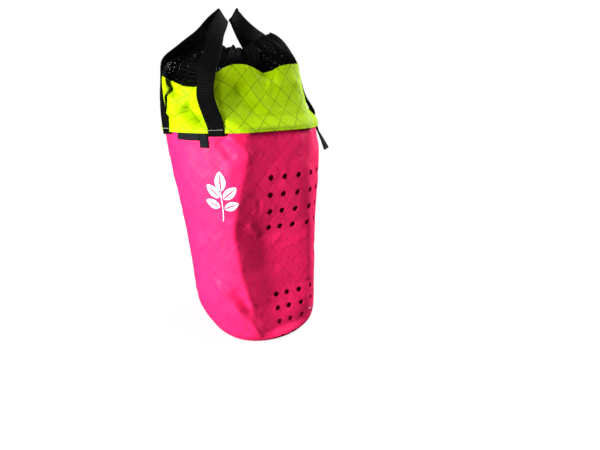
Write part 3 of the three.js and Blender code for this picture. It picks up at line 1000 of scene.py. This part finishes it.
# Half of a strap's cross-section: places across it, and shares of its thickness there
ACROSS = np.array([-1, -0.97, -0.86, -0.55, -0.2, 0.2, 0.55, 0.86, 0.97, 1])
BULGE = np.array([0.3, 0.72, 0.98, 1, 1, 1, 1, 0.98, 0.72, 0.3])


def make_strap(name, node, first, width, thickness):
    """Ribbed webbing along a packed strap, with a soft rounded edge on both sides."""
    line, wide, face, step = strap_path(node, first, WEBBING_RIB / 6)
    count, half = len(line), len(ACROSS)
    run = np.arange(count) * step
    wave = np.sin(2 * math.pi * run / WEBBING_RIB)[:, None]
    across = np.concatenate([ACROSS, ACROSS[::-1]]) * width / 2
    side = np.concatenate([np.ones(half), -np.ones(half)])
    bulge = np.concatenate([BULGE, BULGE[::-1]])
    lift = side * bulge * (thickness / 2 + side * (WEBBING_RELIEF * wave))
    reach = across * (1 + 0.012 * wave)
    points = line[:, None] + reach[..., None] * wide[:, None] + lift[..., None] * face[:, None]
    ring = 2 * half
    faces, uv = [], []
    for k in range(count - 1):
        for n in range(ring):
            m = (n + 1) % ring
            faces.append([k * ring + n, k * ring + m, (k + 1) * ring + m, (k + 1) * ring + n])
            for row, point in ((k, n), (k, m), (k + 1, m), (k + 1, n)):
                uv.append((across[point] + width, run[row]))
    for row in (0, count - 1):
        cap = [row * ring + n for n in range(ring)]
        faces.append(cap[::-1] if row == 0 else cap)
        uv += [(across[n % ring] + width, run[row]) for n in range(ring)]
    strap = mesh_object(name, points.reshape(-1, 3), faces, uv)
    open_edit(strap)
    bpy.ops.mesh.normals_make_consistent(inside=False)
    close_edit()
    smooth(strap, 50)
    dress(strap, WEBBING, "webbing", node)


def stitch_pattern(length):
    """One short stitch along X: a round thread that dips into the cloth at both ends."""
    bpy.ops.object.select_all(action="DESELECT")
    bpy.ops.mesh.primitive_uv_sphere_add(segments=8, ring_count=6, radius=1)
    stitch = bpy.context.object
    open_edit(stitch)
    bpy.ops.transform.resize(value=(length / 2, THREAD, THREAD))
    close_edit()
    return stitch


def bar_tacks():
    """A row of pale stitches across each foot of the two handles."""
    places = []
    for node in ("handle_front", "handle_rear"):
        line, wide, face, _ = strap_path(node, right_foot, 1 * MM)
        for k in (8, len(line) - 9):
            out = line[k] - np.array(SEAM)
            normal = face[k] if face[k] @ (out * [1, 1, 0]) > 0 else -face[k]
            for share in np.linspace(-0.82, 0.82, 10):
                point = line[k] + wide[k] * share * WEBBING_WIDTH / 2 + normal * WEBBING_THICKNESS * 0.52
                turn = Matrix((wide[k], np.cross(normal, wide[k]), normal)).transposed()
                places.append(Matrix.Translation(point) @ turn.to_4x4())
    rows = copies("handle_bar_tacks", stitch_pattern(1.5 * MM), places)
    smooth(rows)
    dress(rows, PALE_THREAD, "webbing")


def collar_stitches(skin):
    """A line of stitches just above the collar's lower edge."""
    places = []
    for k in range(SEAM_STITCHES):
        angle = 360 * k / SEAM_STITCHES
        point, normal = on_skin(skin, SEAM, angle, SEAM.z + SEAM_STITCH_RISE)
        if point:
            places.append(facing(point + normal * 0.1 * MM, normal))
    rows = copies("collar_stitches", stitch_pattern(2.7 * MM), places)
    smooth(rows)
    dress(rows, GREEN_THREAD, "collar_cloth")


# Base, labels and print


def make_base():
    """The round base panel, cut to the outline of its solid."""
    low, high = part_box("base")
    tree = tree_of(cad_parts["base"])
    bpy.ops.object.select_all(action="DESELECT")
    bpy.ops.mesh.primitive_circle_add(vertices=120, radius=0.08, fill_type="NGON", location=(0, 0, 0))
    disc = bpy.context.object
    disc.name = disc.data.name = "sailcloth_base"
    middle = (low.z + high.z) / 2
    for vertex in disc.data.vertices:
        angle = math.degrees(math.atan2(vertex.co.x, -vertex.co.y))
        reach = radius_at(tree, BASE_MIDDLE, angle, middle)
        vertex.co = outward(angle) * reach + Vector((0, 0, low.z))
    open_edit(disc)
    for width in BASE_RINGS:
        bpy.ops.mesh.inset(thickness=width * MM)
    bpy.ops.mesh.select_all(action="SELECT")
    bpy.ops.mesh.normals_make_consistent(inside=False)
    bpy.ops.uv.cube_project(cube_size=1.0, scale_to_bounds=False)
    close_edit()
    if disc.data.polygons[0].normal.z < 0:
        disc.data.flip_normals()
    finish_with(disc, "SOLIDIFY", thickness=(high.z - low.z) * 0.9, offset=1)
    finish_with(disc, "BEVEL", width=0.3 * MM, segments=2, limit_method="ANGLE")
    smooth(disc)
    dress(disc, PINK, "tube_cloth", "base")


def make_label(name, node, skin):
    """A small woven label that hangs from the seam and curls off the cloth at its lower edge."""
    points = np.array([v.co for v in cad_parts[node].data.vertices])
    angle = np.degrees(np.arctan2(points[:, 0], -points[:, 1]))
    left, right = angle.min(), angle.max()
    low, high = points[:, 2].min(), points[:, 2].max()
    flat = (math.radians(right - left) * LABEL_RADIUS, high - low)
    panel, u, v = cloth_panel(name, *LABEL_GRID, flat)
    place = []
    for a, b in zip(u, v):
        turn = left + a * (right - left)
        point, _ = on_skin(skin, BASE_MIDDLE, turn, low + b * (high - low))
        rolled = 0.25 * MM * (math.exp(-((a / 0.04) ** 2)) + math.exp(-(((1 - a) / 0.04) ** 2)))
        curl = 0.5 * MM + rolled + 0.9 * MM * (1 - b) ** 2
        place.append(point + outward(turn) * curl)
    set_points(panel, [tuple(p) for p in place])
    finish_with(panel, "SOLIDIFY", thickness=LABEL_CLOTH, offset=1)
    finish_with(panel, "BEVEL", width=0.15 * MM, segments=2, limit_method="ANGLE")
    smooth(panel)
    dress(panel, LABEL_TAPE, "label", node)


# Leaves of the printed sprig, in millimetres from its middle: foot, length, width, and turn from upright
Leaf = namedtuple("Leaf", "right up length width turn")
SPRIG_ANGLE = 17.7
SPRIG_HEIGHT = 232 * MM
SPRIG_LEAVES = [
    Leaf(0, 8, 26, 15, 0),
    Leaf(-1, 0, 24, 13, 46),
    Leaf(1, -2, 24, 13, -50),
    Leaf(-1.5, -13, 22, 12, 66),
    Leaf(1, -15, 21, 12, -70),
]


def leaf_point(leaf, along, across):
    """A point of a leaf's blade, where along goes from foot to tip and across from -1 to 1."""
    half = leaf.width / 2 * (4 * along * (1 - along)) ** 0.75 * (1.15 - 0.3 * along)
    half = max(half, 0.12)
    vein = 0.55 * math.copysign(1, across) * (1 - along)
    x = across * half + (vein if abs(across) < 0.2 else 0)
    y = 2.5 + along * leaf.length
    turn = math.radians(leaf.turn)
    right = leaf.right + x * math.cos(turn) - y * math.sin(turn)
    return right, leaf.up + x * math.sin(turn) + y * math.cos(turn)


def make_print(skin):
    """A plain sprig of leaves printed on the tube, each blade split by its vein, on a curved stem."""
    points, faces = [], []

    def blade(place_at, rows, columns):
        """Lays a grid of ink on the cloth. place_at gives each point from its shares along and across."""
        start = len(points)
        for row in range(rows + 1):
            for column in range(columns + 1):
                x, y = place_at(row / rows, column / columns)
                angle = SPRIG_ANGLE + math.degrees(x * MM / WALL_RADIUS)
                point, normal = on_skin(skin, BASE_MIDDLE, angle, SPRIG_HEIGHT + y * MM)
                points.append(point + normal * INK)
        for row in range(rows):
            for column in range(columns):
                a = start + row * (columns + 1) + column
                faces.append([a, a + 1, a + columns + 2, a + columns + 1])

    for leaf in SPRIG_LEAVES:
        for half in (-1, 1):
            blade(lambda t, s: leaf_point(leaf, t, half * (0.13 + 0.87 * (s if half > 0 else 1 - s))), 22, 5)
    blade(lambda t, s: (1.2 * math.sin(3 * t) - 1 + 1.1 * (s - 0.5), -32 + 42 * t), 40, 2)
    sprig = mesh_object("sprig_print", points, faces)
    finish_with(sprig, "SOLIDIFY", thickness=INK, offset=1)
    smooth(sprig)
    dress(sprig, WHITE_INK, "tube_cloth")


# Stage


def make_camera():
    """The camera at the photograph's viewing angle."""
    out = outward(math.degrees(CAMERA_TURN))
    side = Vector((math.cos(CAMERA_TURN), math.sin(CAMERA_TURN), 0))
    up = Vector((0, 0, 1))
    level = math.cos(CAMERA_PITCH)
    forward = side * math.sin(CAMERA_YAW) * level - out * math.cos(CAMERA_YAW) * level
    forward = forward - up * math.sin(CAMERA_PITCH)
    flat_right = side * math.cos(CAMERA_YAW) + out * math.sin(CAMERA_YAW)
    flat_up = flat_right.cross(forward)
    right = flat_right * math.cos(CAMERA_ROLL) + flat_up * math.sin(CAMERA_ROLL)
    top = right.cross(forward)
    camera = bpy.data.objects.new("camera", bpy.data.cameras.new("camera"))
    bpy.context.scene.collection.objects.link(camera)
    place = Matrix((right, top, -forward)).transposed().to_4x4()
    place.translation = SEAM + out * CAMERA_DISTANCE + up * CAMERA_RISE
    camera.matrix_world = place
    camera.data.sensor_width = SENSOR_WIDTH
    camera.data.lens = FOCAL_PIXELS / IMAGE_PIXELS * SENSOR_WIDTH
    bpy.context.scene.camera = camera


def area_light(row):
    """A soft square light that looks at the middle of the bag."""
    data = bpy.data.lights.new(row.name, "AREA")
    data.size, data.energy = row.size, row.power
    light = bpy.data.objects.new(row.name, data)
    light.location = outward(row.angle) * row.distance + Vector((0, 0, row.height))
    light.rotation_mode = "QUATERNION"
    light.rotation_quaternion = (BAG_MIDDLE - light.location).to_track_quat("-Z", "Y")
    bpy.context.scene.collection.objects.link(light)


def make_stage():
    """A pale floor that fades into a white horizon, with soft lights round the bag."""
    bpy.ops.object.select_all(action="DESELECT")
    bpy.ops.mesh.primitive_plane_add(size=60, location=(0, 0, 0))
    floor = bpy.context.object
    floor.name = "floor"
    material, tree, shader = nodes_of("pale_floor")
    place = add(tree, "TexCoord").outputs["Object"]
    away = add(tree, "VectorMath", {0: place}, operation="LENGTH").outputs["Value"]
    seen = add(tree, "LightPath").outputs["Is Camera Ray"]
    glow = maths(tree, "MULTIPLY_ADD", ramp(tree, away, 0.1, 0.5), 0.1, 0.9)
    looks = {
        "Base Color": (0.08, 0.08, 0.08, 1),
        "Roughness": 0.9,
        "Specular IOR Level": 0.1,
        "Emission Color": (1, 1, 1, 1),
        "Emission Strength": maths(tree, "MULTIPLY", glow, seen),
    }
    fill(tree, shader, looks)
    floor.data.materials.append(material)
    world = bpy.data.worlds.new("studio")
    world.use_nodes = True
    tree = world.node_tree
    seen = add(tree, "LightPath").outputs["Is Camera Ray"]
    glow = maths(tree, "MULTIPLY_ADD", seen, 1 - SKY_LIGHT, SKY_LIGHT)
    fill(tree, tree.nodes["Background"], {"Color": (1, 1, 1, 1), "Strength": glow})
    bpy.context.scene.world = world
    for row in LIGHTS:
        area_light(row)
    bpy.context.scene.view_settings.view_transform = "Standard"


make_camera()
make_stage()
tube_face = make_tube()
collar_face = make_collar()
make_base()
make_net(collar_face)
make_strap("front_handle_webbing", "handle_front", right_foot, WEBBING_WIDTH, WEBBING_THICKNESS)
make_strap("rear_handle_webbing", "handle_rear", right_foot, WEBBING_WIDTH, WEBBING_THICKNESS)
make_strap("side_tab_webbing", "side_tab", upper_end, TAB_WIDTH, TAB_THICKNESS)
make_label("label_wide_tape", "label_wide", tube_face)
make_label("label_tall_tape", "label_tall", tube_face)
bar_tacks()
collar_stitches(collar_face)
make_print(tube_face)
